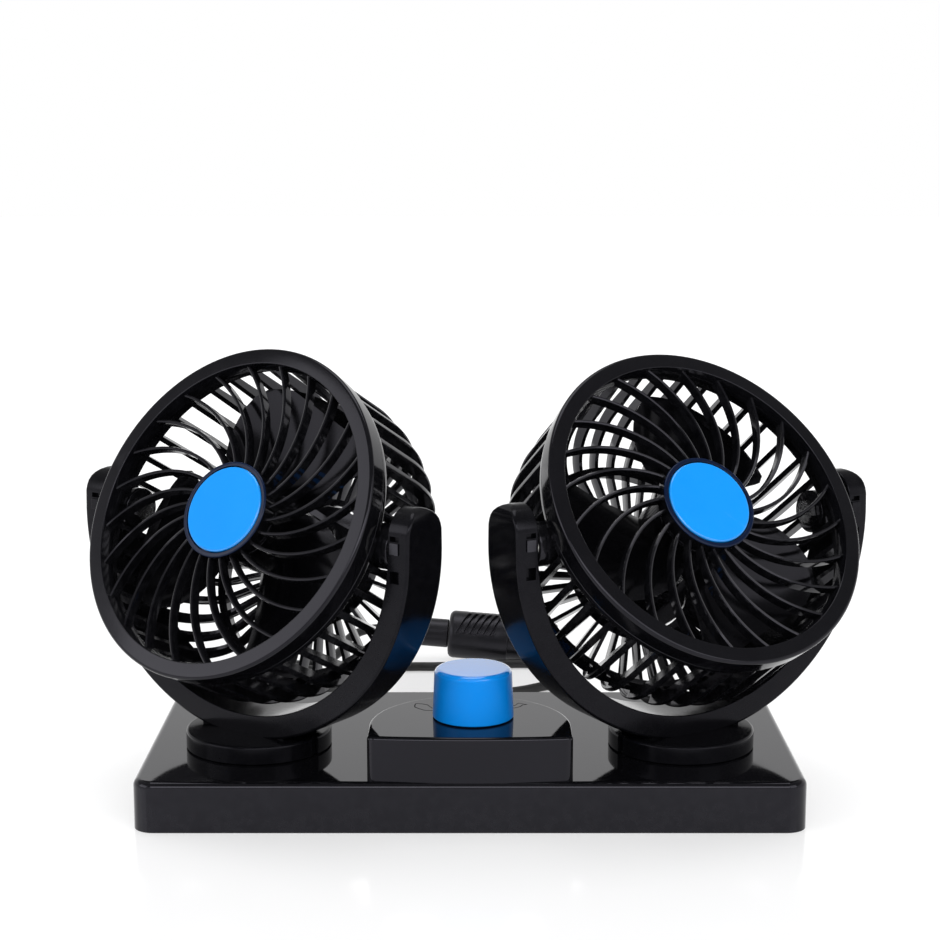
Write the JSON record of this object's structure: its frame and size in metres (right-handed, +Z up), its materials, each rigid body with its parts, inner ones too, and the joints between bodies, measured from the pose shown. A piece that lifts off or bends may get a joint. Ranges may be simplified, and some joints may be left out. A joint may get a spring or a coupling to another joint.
{
  "type": "dual head car fan",
  "caption": "Dashboard fan with two swivelling, tilting caged heads on U-shaped yokes, a flat base with a speed knob, and a cord with an accessory plug.",
  "frame": {"origin": "centre of the underside of the adhesive pad under the base", "axes": "+X to the right of someone facing the fan, +Y to the back of the base, where the cord leaves, +Z up"},
  "size_m": [0.2598, 0.2188, 0.1438],
  "materials": {
    "black_gloss": "glossy moulded ABS",
    "black_matte": "fine texture",
    "blade_black": "satin moulded",
    "blue": "satin blue",
    "steel": "plated",
    "nylon": "natural nylon",
    "board": "green circuit board",
    "foam": "foam tape",
    "cord_rubber": "soft black PVC",
    "fuse_glass": "clear tube with metal caps"
  },
  "bodies": {
    "base": {"base_cover": "black_gloss", "base_plate": "black_matte", "adhesive_pad": "foam", "plate_screw_1": "steel", "plate_screw_2": "steel", "plate_screw_3": "steel", "plate_screw_4": "steel", "control_board": "board", "speed_switch": "black_matte", "switch_nut": "steel", "cord_bush": "cord_rubber", "cord_lead": "cord_rubber", "cord_coil": "cord_rubber", "cord_tail": "cord_rubber", "plug_relief": "cord_rubber", "plug_body": "black_matte", "plug_nose": "black_matte", "plug_spring": "steel"},
    "knob": {"speed_knob": "blue", "switch_shaft": "steel"},
    "plug_tip": {"plug_pin": "steel", "plug_fuse": "fuse_glass"},
    "plug_contact_left": {"plug_contact_left": "steel"},
    "plug_contact_right": {"plug_contact_right": "steel"},
    "left_yoke": {"left_yoke": "black_gloss", "left_swivel_washer": "nylon", "left_swivel_clip": "steel"},
    "left_head": {"left_front_grille": "black_gloss", "left_hub_cap": "blue", "left_rear_cage": "black_gloss", "left_pivot_pin_left": "steel", "left_pivot_pin_right": "steel", "left_pivot_washer_left": "nylon", "left_pivot_washer_right": "nylon", "left_motor": "steel", "left_motor_mount": "black_gloss"},
    "left_rotor": {"left_rotor": "blade_black", "left_motor_shaft": "steel"},
    "right_yoke": {"right_yoke": "black_gloss", "right_swivel_washer": "nylon", "right_swivel_clip": "steel"},
    "right_head": {"right_front_grille": "black_gloss", "right_hub_cap": "blue", "right_rear_cage": "black_gloss", "right_pivot_pin_left": "steel", "right_pivot_pin_right": "steel", "right_pivot_washer_left": "nylon", "right_pivot_washer_right": "nylon", "right_motor": "steel", "right_motor_mount": "black_gloss"},
    "right_rotor": {"right_rotor": "blade_black", "right_motor_shaft": "steel"}
  },
  "joints": [
    {"name": "knob_turn", "type": "hinge", "parent": "base", "child": "knob", "pos_m": [0.001, -0.0265, 0.03], "axis": [0, 0, -1], "range_deg": [0, 270]},
    {"name": "left_swivel", "type": "hinge", "parent": "base", "child": "left_yoke", "pos_m": [-0.0685, -0.0104, 0.016], "axis": [0, 0, 1], "range_deg": [-139.9, 210.1]},
    {"name": "right_swivel", "type": "hinge", "parent": "base", "child": "right_yoke", "pos_m": [0.0685, -0.0104, 0.016], "axis": [0, 0, 1], "range_deg": [-204.2, 145.8]},
    {"name": "left_tilt", "type": "hinge", "parent": "left_yoke", "child": "left_head", "pos_m": [-0.0685, -0.0104, 0.088], "axis": [-0.8181, 0.575, 0], "range_deg": [-198.6, 141.4]},
    {"name": "right_tilt", "type": "hinge", "parent": "right_yoke", "child": "right_head", "pos_m": [0.0685, -0.0104, 0.088], "axis": [-0.8729, -0.4879, 0], "range_deg": [-207.7, 132.3]},
    {"name": "left_fan_spin", "type": "hinge", "parent": "left_head", "child": "left_rotor", "pos_m": [-0.0685, -0.0104, 0.088], "axis": [-0.5048, -0.7183, 0.4787], "continuous": true},
    {"name": "right_fan_spin", "type": "hinge", "parent": "right_head", "child": "right_rotor", "pos_m": [0.0685, -0.0104, 0.088], "axis": [0.386, -0.6907, 0.6115], "continuous": true},
    {"name": "plug_tip_slide", "type": "slide", "parent": "base", "child": "plug_tip", "axis": [-0.9962, 0.0522, 0.0698], "range_m": [0, 0.003], "stiffness_N_per_m": 400, "springref_m": -0.003, "deforming": ["plug_spring"]},
    {"name": "plug_contact_left_slide", "type": "slide", "parent": "base", "child": "plug_contact_left", "axis": [0.0523, 0.9986, 0], "range_m": [0, 0.0008], "stiffness_N_per_m": 600, "springref_m": -0.001},
    {"name": "plug_contact_right_slide", "type": "slide", "parent": "base", "child": "plug_contact_right", "axis": [-0.0523, -0.9986, 0], "range_m": [0, 0.0008], "stiffness_N_per_m": 600, "springref_m": -0.001}
  ]
}
